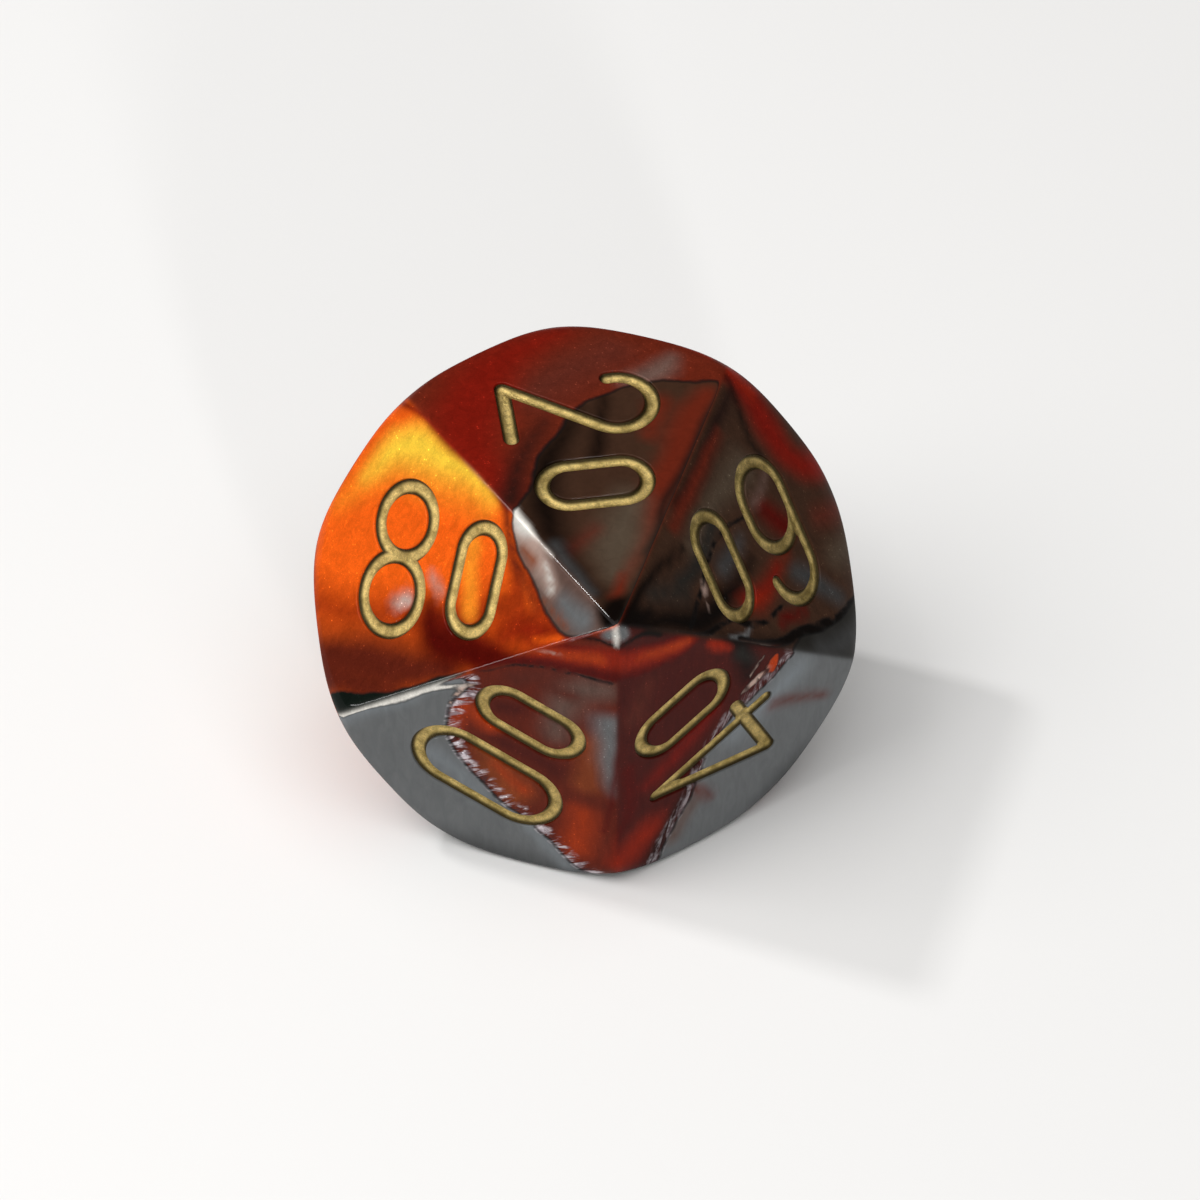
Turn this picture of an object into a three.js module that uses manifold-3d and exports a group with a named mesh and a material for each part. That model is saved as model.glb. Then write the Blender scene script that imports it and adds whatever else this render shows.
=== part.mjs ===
// A ten-sided percentile die: a pentagonal trapezohedron cast in one piece from two swirled resins, with the
// tens 00 to 90 engraved on its faces and every engraved digit filled with gold paint.
// Millimetres, +Z up. The die rests on the face marked 70, with the face marked 20 on top, and the origin is
// under its centre on the surface that it rests on.
import * as THREE from "three";
import { ConvexGeometry } from "three/addons/geometries/ConvexGeometry.js";
import { mergeVertices } from "three/addons/utils/BufferGeometryUtils.js";
import Module from "manifold-3d";

const wasm = await Module();
wasm.setup();

// Body
const ACROSS_FACES = 16; // between opposite faces
const SIDES = 5; // faces round each pole
const EDGE_RADIUS = 0.6; // of the tumbled edges
const BELT_RADIUS = 11.34; // the ten corners round the middle are tumbled down to this
const BELT_CROWN = 12.8; // half height of the ellipsoid that rounds them, past the poles
const RESIN = { color: 0x8a3a1c, roughness: 0.08, metalness: 0.15 };

// Engraving and paint
const STROKE = 0.64; // width of a groove
const GROOVE_DEPTH = 0.35;
const PAINT_GAP = 0.03; // keeps the paint's solid clear of the groove's
const PAINT_SINK = 0.1; // the paint dries this far below the face
const GOLD = { color: 0xb08d46, roughness: 0.45, metalness: 0.85 };

// Lettering on a face: x runs towards the pole, which is also the way that the number reads
const TENS_X = -3.4; // centre of the tens digit
const UNITS_X = 0.95; // centre of the smaller nought
const TEXT_Y = 0.25; // the number sits a little to one side of the face's centre line
const TENS_HALF = 3; // half the height of a tens digit, on the centre line of its stroke
const BOWL = 1.45; // radius of a round stroke
const UNITS_HALF = 2.15;
const UNITS_BOWL = 1.1;

// The tens digit of each face round the near pole, anticlockwise, and of the face opposite it: each pair
// sums to nine tens.
const NEAR_TENS = [2, 8, 0, 4, 6];
const OPPOSITE_SUM = 9;

const CIRCLE_STEPS = 30; // of a whole circle
const ARC_STEP = (2 * Math.PI) / CIRCLE_STEPS;
const SLIVER = 0.004; // finer detail than this, where strokes cross, is smoothed away
const degrees = THREE.MathUtils.degToRad;

// ---- solids

// A closed three.js geometry as a manifold solid.
function toSolid(geometry) {
  const bare = geometry.clone().deleteAttribute("normal").deleteAttribute("uv");
  const merged = mergeVertices(bare, 1e-5);
  const triVerts = new Uint32Array(merged.index.array);
  const vertProperties = new Float32Array(merged.attributes.position.array);
  return new wasm.Manifold(new wasm.Mesh({ numProp: 3, vertProperties, triVerts }));
}

// A manifold solid as a three.js geometry.
function toGeometry(solid) {
  const mesh = solid.getMesh();
  const geometry = new THREE.BufferGeometry();
  geometry.setAttribute("position", new THREE.Float32BufferAttribute(mesh.vertProperties, 3));
  geometry.setIndex(new THREE.BufferAttribute(new Uint32Array(mesh.triVerts), 1));
  geometry.computeVertexNormals();
  return geometry;
}

const unite = (solids) => solids.reduce((sum, solid) => sum.add(solid));

// ---- strokes: each is a run of arcs that all turn the same way, joined by straight stretches

const arc = (x, y, radius, from, to) => ({ x, y, radius, from: degrees(from), to: degrees(to) });

// The end of a straight stretch that runs at a right angle to the given direction.
const end = (x, y, direction) => ({ x, y, radius: 0, from: direction, to: direction });

const bend = (...arcs) => ({ arcs, closed: false });
const loop = (...arcs) => ({ arcs, closed: true });

function bar(x0, y0, x1, y1) {
  const side = Math.atan2(y1 - y0, x1 - x0) - Math.PI / 2;
  return bend(end(x0, y0, side), end(x1, y1, side));
}

// The angles of the points on an arc: its ends, and between them whole steps round the circle, so that two
// strokes that end on the same spot share the points of their round ends.
function anglesAlong(from, to) {
  const low = Math.min(from, to);
  const high = Math.max(from, to);
  const margin = ARC_STEP / 10;
  const angles = [low];
  for (let i = Math.ceil((low + margin) / ARC_STEP); i * ARC_STEP < high - margin; i++) {
    const wrapped = ((i % CIRCLE_STEPS) + CIRCLE_STEPS) % CIRCLE_STEPS;
    angles.push(wrapped * ARC_STEP);
  }
  if (high > low) angles.push(high);
  return from <= to ? angles : angles.reverse();
}

// Points along a run, a set distance outside its centre line.
function pointsAlong(arcs, outside) {
  return arcs.flatMap(({ x, y, radius, from, to }) => {
    const reach = radius + outside;
    return anglesAlong(from, to).map(
      (angle) => new THREE.Vector2(x + reach * Math.cos(angle), y + reach * Math.sin(angle)),
    );
  });
}

// The half circle that closes a run, without its first and last points, which the sides of the run hold.
function cap({ x, y, radius }, angle, half, turn, start) {
  const centre = { x: x + radius * Math.cos(angle), y: y + radius * Math.sin(angle) };
  const from = angle + start * Math.PI * turn;
  return pointsAlong([{ ...centre, radius: half, from, to: from + Math.PI * turn }], 0).slice(1, -1);
}

function strokeShape({ arcs, closed }, width) {
  const half = width / 2;
  const outer = pointsAlong(arcs, half);
  const inner = pointsAlong(arcs, -half);
  if (closed) {
    const open = (points) => (points[0].distanceTo(points.at(-1)) < 1e-6 ? points.slice(0, -1) : points);
    const shape = new THREE.Shape(open(outer));
    shape.holes.push(new THREE.Path(open(inner)));
    return shape;
  }
  const first = arcs[0];
  const last = arcs.at(-1);
  const turn = Math.sign(last.to - first.from) || 1;
  const lastCap = cap(last, last.to, half, turn, 0);
  const firstCap = cap(first, first.from, half, turn, 1);
  return new THREE.Shape([...outer, ...lastCap, ...inner.reverse(), ...firstCap]);
}

// A digit as one solid, between two heights above the face.
function digitSolid(strokes, width, bottom, top) {
  const depth = top - bottom;
  return unite(
    strokes.map((stroke) => {
      const geometry = new THREE.ExtrudeGeometry(strokeShape(stroke, width), { depth, bevelEnabled: false });
      return toSolid(geometry.translate(0, 0, bottom));
    }),
  ).simplify(SLIVER);
}

// ---- digits, on the centre lines of their strokes, each centred on its own origin

const nought = (half, bowl) => [loop(arc(0, half - bowl, bowl, 0, 180), arc(0, bowl - half, bowl, 180, 360))];

function one() {
  const stem = 0.45;
  const flag = 1.3;
  return [bar(stem, -TENS_HALF, stem, TENS_HALF), bar(stem, TENS_HALF, stem - flag, TENS_HALF - flag)];
}

function two() {
  const bowlY = TENS_HALF - BOWL;
  const footX = -BOWL;
  // The straight slope leaves the bowl where it is tangent to it and heads for the left end of the base.
  const toFoot = Math.atan2(-TENS_HALF - bowlY, footX);
  const slope = toFoot + Math.acos(BOWL / Math.hypot(footX, TENS_HALF + bowlY));
  const hook = { x: 0, y: bowlY, radius: BOWL, from: degrees(188), to: slope };
  return [bend(hook, end(footX, -TENS_HALF, slope)), bar(footX, -TENS_HALF, BOWL, -TENS_HALF)];
}

function three() {
  const lower = 2 * TENS_HALF - 2 * BOWL;
  return [
    bend(arc(0, TENS_HALF - BOWL, BOWL, 160, -90)),
    bend(arc(0, lower / 2 - TENS_HALF, lower / 2, 90, -160)),
  ];
}

function four() {
  const stem = 1.1;
  const left = -1.75;
  const right = 2.1;
  const crossbar = -1.85;
  return [
    bar(stem, TENS_HALF, stem, -TENS_HALF),
    bar(stem, TENS_HALF, left, crossbar),
    bar(left, crossbar, right, crossbar),
  ];
}

function five() {
  const back = -1.2;
  const bowl = 1.6;
  const bowlY = bowl - TENS_HALF;
  const neck = Math.acos(back / bowl);
  return [
    bar(back, TENS_HALF, 1.25, TENS_HALF),
    bar(back, TENS_HALF, back, bowlY + bowl * Math.sin(neck)),
    bend({ x: 0, y: bowlY, radius: bowl, from: neck, to: degrees(-150) }),
  ];
}

function six() {
  const loopHalf = 1.85;
  const loopTop = loopHalf * 2 - TENS_HALF - BOWL;
  return [
    bend(arc(0, TENS_HALF - BOWL, BOWL, 12, 180), arc(0, loopTop, BOWL, 180, 180)),
    loop(arc(0, loopTop, BOWL, 0, 180), arc(0, BOWL - TENS_HALF, BOWL, 180, 360)),
  ];
}

function seven() {
  const foot = -0.5;
  return [bar(-BOWL, TENS_HALF, BOWL, TENS_HALF), bar(BOWL, TENS_HALF, foot, -TENS_HALF)];
}

function eight() {
  const lower = TENS_HALF - BOWL;
  return [loop(arc(0, lower, BOWL, 0, 360)), loop(arc(0, -BOWL, lower, 0, 360))];
}

// A nine is a six turned upside down.
function nine() {
  return six().map(({ arcs, closed }) => ({
    closed,
    arcs: arcs.map(({ x, y, radius, from, to }) => ({
      x: -x,
      y: -y,
      radius,
      from: from + Math.PI,
      to: to + Math.PI,
    })),
  }));
}

const wideNought = () => nought(TENS_HALF + 0.1, BOWL + 0.1);
const TENS_DIGITS = [wideNought, one, two, three, four, five, six, seven, eight, nine];

// ---- the die: its poles are on the Z axis here, and the group at the end tips it on to its face

const tilt = Math.atan(1 / Math.sqrt(Math.cos(Math.PI / SIDES))); // makes the side corners of a face square
const inradius = ACROSS_FACES / 2;
const poleHeight = inradius / Math.cos(tilt);
const cornerHeight = poleHeight * Math.tan(Math.PI / (2 * SIDES)) ** 2;
const cornerRadius = (poleHeight + cornerHeight) / Math.tan(tilt);

// The ten faces: near faces first, then the face opposite each.
const faces = [1, -1].flatMap((pole) =>
  NEAR_TENS.map((tens, k) => {
    const azimuth = (k * 2 * Math.PI) / SIDES;
    const normal = new THREE.Vector3().setFromSphericalCoords(1, tilt, azimuth);
    normal.set(normal.z, normal.x, normal.y).multiplyScalar(pole);
    const towardsPole = new THREE.Vector3(0, 0, pole).projectOnPlane(normal).normalize();
    const across = new THREE.Vector3().crossVectors(normal, towardsPole);
    const frame = new THREE.Matrix4().makeBasis(towardsPole, across, normal);
    frame.setPosition(normal.clone().multiplyScalar(inradius));
    return { tens: pole > 0 ? tens : OPPOSITE_SUM - tens, normal, frame };
  }),
);

function corners() {
  const poles = [1, -1].map((pole) => new THREE.Vector3(0, 0, pole * poleHeight));
  const belt = Array.from({ length: 2 * SIDES }, (_, i) => {
    const azimuth = (i * Math.PI) / SIDES;
    const height = i % 2 ? cornerHeight : -cornerHeight;
    return new THREE.Vector3(cornerRadius * Math.cos(azimuth), cornerRadius * Math.sin(azimuth), height);
  });
  return [...poles, ...belt];
}

// The hull of a small ball in every corner has flat faces and rounded edges. The points where each ball
// touches its faces keep the faces exactly flat.
function roundedSolid() {
  const ball = new THREE.IcosahedronGeometry(EDGE_RADIUS, 3).attributes.position;
  const points = corners().flatMap((corner) => {
    const centre = corner.clone().multiplyScalar(1 - EDGE_RADIUS / inradius);
    const touching = faces.filter(({ normal }) => Math.abs(normal.dot(corner) - inradius) < 1e-6);
    const onBall = Array.from({ length: ball.count }, (_, i) => new THREE.Vector3().fromBufferAttribute(ball, i));
    const onFaces = touching.map(({ normal }) => normal.clone().multiplyScalar(EDGE_RADIUS));
    return [...onBall, ...onFaces].map((point) => point.add(centre));
  });
  return toSolid(new ConvexGeometry(points));
}

// The ellipsoid that rounds off the ten corners round the middle.
function beltSolid() {
  const rows = 60;
  const profile = Array.from({ length: rows + 1 }, (_, i) => {
    const latitude = (i / rows - 0.5) * Math.PI;
    const radius = i % rows ? BELT_RADIUS * Math.cos(latitude) : 0;
    return new THREE.Vector2(radius, BELT_CROWN * Math.sin(latitude));
  });
  return toSolid(new THREE.LatheGeometry(profile, 90).rotateX(Math.PI / 2));
}

const strokesOf = {
  tens: ({ tens }) => TENS_DIGITS[tens](),
  units: () => nought(UNITS_HALF, UNITS_BOWL),
};
const placeOf = {
  tens: new THREE.Vector3(TENS_X, TEXT_Y, 0),
  units: new THREE.Vector3(UNITS_X, TEXT_Y, 0),
};
const digits = faces.flatMap((face) =>
  ["tens", "units"].map((digit) => ({
    name: `gold_${face.tens}0_${digit}`,
    strokes: strokesOf[digit](face),
    frame: face.frame.clone().multiply(new THREE.Matrix4().setPosition(placeOf[digit])),
  })),
);

function bodyMesh() {
  const clear = 1; // a cutter stands this far out of the face
  const grooves = digits.map(({ strokes, frame }) =>
    digitSolid(strokes, STROKE, -GROOVE_DEPTH, clear).transform(frame.elements),
  );
  const body = roundedSolid().intersect(beltSolid()).simplify(SLIVER).subtract(unite(grooves));
  const mesh = new THREE.Mesh(toGeometry(body), new THREE.MeshStandardMaterial(RESIN));
  mesh.name = "die_body";
  return mesh;
}

function paintMesh({ name, strokes, frame }) {
  const solid = digitSolid(strokes, STROKE - 2 * PAINT_GAP, PAINT_GAP - GROOVE_DEPTH, -PAINT_SINK);
  const mesh = new THREE.Mesh(toGeometry(solid), new THREE.MeshStandardMaterial(GOLD));
  mesh.name = name;
  mesh.applyMatrix4(frame);
  return mesh;
}

// Tip the first face up: its number then reads along -Y, with the tops of its digits towards +X.
const die = new THREE.Group();
const upright = new THREE.Matrix4().makeBasis(
  new THREE.Vector3(0, -1, 0),
  new THREE.Vector3(1, 0, 0),
  new THREE.Vector3(0, 0, 1),
);
const tip = upright.multiply(new THREE.Matrix4().extractRotation(faces[0].frame).transpose());
die.applyMatrix4(tip.setPosition(0, 0, inradius));
die.add(bodyMesh(), ...digits.map(paintMesh));

export default die;
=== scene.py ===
# A ten-sided percentile die cast from swirled copper and steel resin, with its engraved numbers painted gold.
import math
import bpy
import numpy as np
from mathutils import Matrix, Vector, geometry


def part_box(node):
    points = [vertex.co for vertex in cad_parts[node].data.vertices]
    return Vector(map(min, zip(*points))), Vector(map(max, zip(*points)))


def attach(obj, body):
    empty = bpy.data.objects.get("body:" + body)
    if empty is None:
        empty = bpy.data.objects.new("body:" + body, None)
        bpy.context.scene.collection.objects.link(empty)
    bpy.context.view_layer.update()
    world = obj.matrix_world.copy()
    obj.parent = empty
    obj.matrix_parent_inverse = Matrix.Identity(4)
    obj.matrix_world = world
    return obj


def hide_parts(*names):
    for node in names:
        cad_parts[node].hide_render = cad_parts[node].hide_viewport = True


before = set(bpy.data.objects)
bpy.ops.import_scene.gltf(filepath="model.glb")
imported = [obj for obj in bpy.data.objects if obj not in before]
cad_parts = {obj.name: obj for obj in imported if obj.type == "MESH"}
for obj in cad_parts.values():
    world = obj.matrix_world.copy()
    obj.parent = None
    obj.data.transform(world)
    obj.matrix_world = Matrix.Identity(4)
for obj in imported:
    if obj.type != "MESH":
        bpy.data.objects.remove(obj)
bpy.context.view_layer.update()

# Lengths are in millimetres from the die's centre until a mesh is made.
MM = 0.001

# Body
ACROSS_FACES = (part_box("die_body")[1].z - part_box("die_body")[0].z) / MM
INRADIUS = ACROSS_FACES / 2
CENTRE = np.array((0, 0, INRADIUS))
SIDES = 5  # faces round each pole
BELT_RADIUS = 11.34  # the ten corners round the middle are tumbled down to this
BELT_CROWN = 12.8  # half height of the ellipsoid that rounds them
EDGE_SHARPNESS = 85  # power of the blend between two faces
BELT_SHARPNESS = 60  # power of the blend between the faces and the ellipsoid

# Engraving
HALF_STROKE = 0.32
GROOVE_DEPTH = 0.35
RIM = 0.06  # radius of the polished rim of a groove
WALL = 0.02  # how far a groove's wall leans in
PAINT_TOP = 0.07  # how far below the face the paint meets the wall
PAINT_DISH = 0.2  # and how far it sinks below that in the middle of a stroke
PAINT_CLEAR = 0.012  # between the paint and its groove
TENS_X = -3.4
UNITS_X = 0.95
TEXT_Y = 0.25
TENS_HALF = 3  # half the height of the tens
BOWL = 1.45  # radius of the tens' bowls
UNITS_HALF = 2.15
UNITS_BOWL = 1.1
WIDER_NOUGHT = 0.1  # how much more the nought of the tens takes up on each side
NEAR_TENS = [2, 8, 0, 4, 6]  # of the faces round the near pole, in order
OPPOSITE_SUM = 9  # the tens of opposite faces add up to this

# Mesh
STEP = 0.2  # along edges and outlines
ARC_STEP = math.radians(6)
GRID = 0.33  # between points on the open face
EDGE_ROWS = [0.06, 0.13, 0.21, 0.3, 0.41, 0.55, 0.75, 1.05, 1.45]  # distances from a face's edge
RIM_ROWS = [1.8, 1.0, 0.94, 0.82, 0.64, 0.4, 0.0]  # distances from a groove's wall, as shares of RIM
PAINT_ROWS = [1, 0.93, 0.82, 0.68, 0.5, 0.28]  # distances from a stroke's middle, as shares of the paint
INSIDE_PAINT = 0.999  # a triangle belongs to the paint if its middle is within this share
FAR = 1e9  # more than any distance on the die
SAME_PLACE = 1e-6  # points closer than this are one point of an outline
SEAM_CELL = 1e-4  # points of two faces in one cell of this size are joined
SEAM_OFFSET = 3.1e-5  # keeps the points on the axes away from the borders of the cells
WELD = 1e-5  # and closer than this they are one point of a mesh
SLIVER = 1e-9  # twice the area of the smallest triangle that is kept

# Stage, in metres and watts
FLOOR_SIZE = 3
FLOOR_COLOUR = (0.78, 0.772, 0.76, 1)
FLOOR_ROUGHNESS = 0.6
WORLD_STRENGTH = 0.1
# Lamps: direction from the die, distance, width and height, power
LAMPS = {
    "key": ((-0.62, -0.05, 0.78), 0.4, (0.26, 0.26), 0.84),
    "glint": ((-0.534, 0.327, 0.752), 0.4, (0.03, 0.03), 0.4),
    "side": ((-0.98, -0.12, 0.06), 0.4, (0.16, 0.012), 0.22),
    "front": ((0.1, -0.95, 0.27), 0.5, (0.03, 0.12), 0.7),
    "overhead": ((0.05, -0.2, 0.97), 0.5, (0.5, 0.5), 1.62),
}

# Camera
CAMERA_AZIMUTH = math.radians(-8.3)
CAMERA_ELEVATION = math.radians(47.3)
CAMERA_DISTANCE = 0.28
CAMERA_CLIP = (0.01, 20)
LENS = 203.4  # millimetres
SENSOR = 36  # millimetres
SHIFT_X = 0.0121


# ---- strokes of the digits: runs of arcs that turn one way, joined by straight stretches


def arc(x, y, radius, start, end):
    """Part of a circle, with its angles in degrees."""
    return (x, y, radius, math.radians(start), math.radians(end))


def stop(x, y, direction):
    """The end of a straight stretch that runs at a right angle to the given direction."""
    return (x, y, 0, direction, direction)


def bend(*arcs):
    return (arcs, False)


def loop(*arcs):
    return (arcs, True)


def bar(x0, y0, x1, y1):
    side = math.atan2(y1 - y0, x1 - x0) - math.pi / 2
    return bend(stop(x0, y0, side), stop(x1, y1, side))


def nought(half, bowl):
    return [loop(arc(0, half - bowl, bowl, 0, 180), arc(0, bowl - half, bowl, 180, 360))]


def one():
    stem, flag = 0.45, 1.3
    return [bar(stem, -TENS_HALF, stem, TENS_HALF), bar(stem, TENS_HALF, stem - flag, TENS_HALF - flag)]


def two():
    bowl_y = TENS_HALF - BOWL
    hook_start = math.radians(188)
    to_foot = math.atan2(-TENS_HALF - bowl_y, -BOWL)
    slope = to_foot + math.acos(BOWL / math.hypot(BOWL, TENS_HALF + bowl_y))
    hook = (0, bowl_y, BOWL, hook_start, slope)
    return [bend(hook, stop(-BOWL, -TENS_HALF, slope)), bar(-BOWL, -TENS_HALF, BOWL, -TENS_HALF)]


def three():
    lower, open_end = TENS_HALF - BOWL, 160
    return [
        bend(arc(0, TENS_HALF - BOWL, BOWL, open_end, -90)),
        bend(arc(0, lower - TENS_HALF, lower, 90, -open_end)),
    ]


def four():
    stem, left, right, crossbar = 1.1, -1.75, 2.1, -1.85
    return [
        bar(stem, TENS_HALF, stem, -TENS_HALF),
        bar(stem, TENS_HALF, left, crossbar),
        bar(left, crossbar, right, crossbar),
    ]


def five():
    back, right, bowl, bowl_end = -1.2, 1.25, 1.6, math.radians(-150)
    bowl_y = bowl - TENS_HALF
    neck = math.acos(back / bowl)
    return [
        bar(back, TENS_HALF, right, TENS_HALF),
        bar(back, TENS_HALF, back, bowl_y + bowl * math.sin(neck)),
        bend((0, bowl_y, bowl, neck, bowl_end)),
    ]


def six():
    loop_height, hook_start = 3.7, 12
    loop_y = loop_height - TENS_HALF - BOWL
    return [
        bend(arc(0, TENS_HALF - BOWL, BOWL, hook_start, 180), arc(0, loop_y, BOWL, 180, 180)),
        loop(arc(0, loop_y, BOWL, 0, 180), arc(0, BOWL - TENS_HALF, BOWL, 180, 360)),
    ]


def seven():
    foot = -0.5
    return [bar(-BOWL, TENS_HALF, BOWL, TENS_HALF), bar(BOWL, TENS_HALF, foot, -TENS_HALF)]


def eight():
    lower = TENS_HALF - BOWL
    return [loop(arc(0, lower, BOWL, 0, 360)), loop(arc(0, -BOWL, lower, 0, 360))]


def nine():
    """A six turned upside down."""
    turned = []
    for arcs, closed in six():
        turned.append(([(-x, -y, r, a + math.pi, b + math.pi) for x, y, r, a, b in arcs], closed))
    return turned


def wide_nought():
    return nought(TENS_HALF + WIDER_NOUGHT, BOWL + WIDER_NOUGHT)


TENS_DIGITS = [wide_nought, one, two, three, four, five, six, seven, eight, nine]


def placed(strokes, x, y):
    return [([(x + a[0], y + a[1], *a[2:]) for a in arcs], closed) for arcs, closed in strokes]


def arc_points(x, y, radius, start, end):
    count = max(1, math.ceil(abs(end - start) / ARC_STEP)) if radius > 0 else 0
    angles = np.linspace(start, end, count + 1)
    return np.column_stack((x + radius * np.cos(angles), y + radius * np.sin(angles)))


def subdivided(points, closed):
    """The same line with no stretch longer than STEP."""
    out = []
    stretches = zip(points, np.roll(points, -1, axis=0)) if closed else zip(points[:-1], points[1:])
    for a, b in stretches:
        count = max(1, math.ceil(np.hypot(*(b - a)) / STEP))
        out.append(a + (b - a) * np.arange(count)[:, None] / count)
    if not closed:
        out.append(points[-1:])
    return np.vstack(out)


def side_points(arcs, outside):
    """A line along a run of arcs, at a distance outside them."""
    runs = []
    for x, y, radius, start, end in arcs:
        moved = radius + outside
        runs.append(arc_points(x, y, moved, start, end) if moved else np.array([[x, y]]))
    points = np.vstack(runs)
    apart = np.hypot(*(points[1:] - points[:-1]).T) > SAME_PLACE
    return points[np.concatenate(([True], apart))]


def without_repeat(points):
    """The points of a closed line without its first point at its end as well."""
    return points[:-1] if np.hypot(*(points[0] - points[-1])) < SAME_PLACE else points


def cap_points(run, angle, reach, turn, at_start):
    """The half circle round one end of an open stroke."""
    x = run[0] + run[2] * math.cos(angle)
    y = run[1] + run[2] * math.sin(angle)
    start = angle + math.pi * turn if at_start else angle
    return arc_points(x, y, reach, start, start + math.pi * turn)[1:-1]


def outlines(stroke, reach):
    """The closed outlines at a distance from a stroke's centre line."""
    arcs, closed = stroke
    outer = side_points(arcs, reach)
    inner = side_points(arcs, -reach)
    if closed:
        return [subdivided(without_repeat(ring), True) for ring in (outer, inner)]
    first, last = arcs[0], arcs[-1]
    turn = np.sign(last[4] - first[3]) or 1
    last_cap = cap_points(last, last[4], reach, turn, False)
    first_cap = cap_points(first, first[3], reach, turn, True)
    return [subdivided(np.vstack((outer, last_cap, inner[::-1], first_cap)), True)]


def centre_line(stroke):
    arcs, closed = stroke
    points = side_points(arcs, 0)
    return subdivided(without_repeat(points) if closed else points, closed)


def to_stretch(points, a, b):
    """How far each point is from a straight stretch, and at which share of the stretch it is nearest."""
    along = np.subtract(b, a)
    share = np.clip((points - a) @ along / max(along @ along, SAME_PLACE**2), 0, 1)
    return np.hypot(*(points - a - share[:, None] * along).T), share


def distance_to_stroke(points, stroke):
    """How far each point is from a stroke's centre line: its arcs, what joins them and its ends."""
    arcs, closed = stroke
    best = np.full(len(points), FAR)
    for x, y, radius, start, end in arcs:
        if end == start:
            continue
        away = points - (x, y)
        low, high = min(start, end), max(start, end)
        angle = low + np.mod(np.arctan2(away[:, 1], away[:, 0]) - low, 2 * math.pi)
        on_arc = np.abs(np.hypot(*away.T) - radius)
        best = np.where(angle <= high, np.minimum(best, on_arc), best)
    ends = [(x + r * math.cos(a), y + r * math.sin(a)) for x, y, r, s, e in arcs for a in (s, e)]
    joins = list(zip(ends[1::2], ends[2::2] + ends[:1] if closed else ends[2::2]))
    for a, b in joins:
        best = np.minimum(best, to_stretch(points, a, b)[0])
    for x, y in ends:
        best = np.minimum(best, np.hypot(*(points - (x, y)).T))
    return best


def distance_to_digit(points, strokes):
    return np.min([distance_to_stroke(points, stroke) for stroke in strokes], axis=0)


def distance_to_number(points, face):
    return np.min([distance_to_digit(points, strokes) for strokes in face["digits"].values()], axis=0)


# ---- faces: each has a frame whose x runs towards its pole and whose z is its normal


def make_faces():
    """The ten faces, the axis through the poles and the angle from that axis to a face's normal."""
    tilt = math.atan(1 / math.sqrt(math.cos(math.pi / SIDES)))
    faces = []
    for pole in (1, -1):
        for k, near_tens in enumerate(NEAR_TENS):
            tens = near_tens if pole > 0 else OPPOSITE_SUM - near_tens
            azimuth = k * 2 * math.pi / SIDES
            flat = math.sin(tilt)
            normal = pole * np.array((flat * math.cos(azimuth), flat * math.sin(azimuth), math.cos(tilt)))
            towards = np.array((0, 0, pole)) - normal * math.cos(tilt)
            towards = towards / np.linalg.norm(towards)
            axes = np.array((towards, np.cross(normal, towards), normal))
            faces.append({"tens": tens, "axes": axes, "k": k, "pole": pole})
    # Tip the first face up: its number then reads along -Y.
    tip = faces[0]["axes"].T @ np.array(((0, -1, 0), (1, 0, 0), (0, 0, 1)))
    for face in faces:
        face["axes"] = face["axes"] @ tip
        face["digits"] = {
            "tens": placed(TENS_DIGITS[face["tens"]](), TENS_X, TEXT_Y),
            "units": placed(nought(UNITS_HALF, UNITS_BOWL), UNITS_X, TEXT_Y),
        }
    pole_axis = np.array((0, 0, 1)) @ tip
    return faces, pole_axis, tilt


FACES, POLE_AXIS, TILT = make_faces()
NORMALS = np.array([face["axes"][2] for face in FACES])
POLE_X = INRADIUS * math.tan(TILT)  # a face's pole corner, in its own frame


def side_corner():
    """The side corner of a face, where two neighbours and the face meet."""
    height = INRADIUS / math.cos(TILT)
    corner_height = height * math.tan(math.pi / (2 * SIDES)) ** 2
    radius = (height + corner_height) / math.tan(TILT)
    azimuth = math.pi / SIDES
    x = -radius * math.cos(azimuth) * math.cos(TILT) + corner_height * math.sin(TILT)
    return x, radius * math.sin(azimuth)


SIDE_X, SIDE_Y = side_corner()
KITE = np.array(((POLE_X, 0), (SIDE_X, SIDE_Y), (-POLE_X, 0), (SIDE_X, -SIDE_Y)))


def kite_incircle():
    """The centre of the circle inside a face's four sides, and the sides as inward normals and offsets."""
    sides = np.roll(KITE, -1, axis=0) - KITE
    normals = np.column_stack((-sides[:, 1], sides[:, 0])) / np.hypot(*sides.T)[:, None]
    offsets = np.sum(normals * KITE, axis=1)
    # The centre is on the x axis, at the same distance from a pole side and a far side.
    centre_x = (offsets[1] - offsets[0]) / (normals[1, 0] - normals[0, 0])
    return np.array((centre_x, 0)), normals, offsets


KITE_CENTRE, SIDE_NORMALS, SIDE_OFFSETS = kite_incircle()
KITE_RADIUS = SIDE_NORMALS[0] @ KITE_CENTRE - SIDE_OFFSETS[0]


def inset(points):
    """How far inside the kite each point is."""
    return np.min(points @ SIDE_NORMALS.T - SIDE_OFFSETS, axis=1)


def body_points(face, points, height):
    """Points of the body's surface over places on a face's plane, at a height above it."""
    flat = points @ face["axes"][:2] + INRADIUS * face["axes"][2]
    reach = np.clip(flat @ NORMALS.T / INRADIUS, 0, None)
    planes = np.sum(reach**EDGE_SHARPNESS, axis=1) ** (1 / EDGE_SHARPNESS)
    along = flat @ POLE_AXIS
    out = np.linalg.norm(flat - along[:, None] * POLE_AXIS, axis=1)
    belt = np.hypot(out / BELT_RADIUS, along / BELT_CROWN)
    size = (planes**BELT_SHARPNESS + belt**BELT_SHARPNESS) ** (1 / BELT_SHARPNESS)
    return (flat + height[:, None] * face["axes"][2]) / size[:, None]


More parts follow.
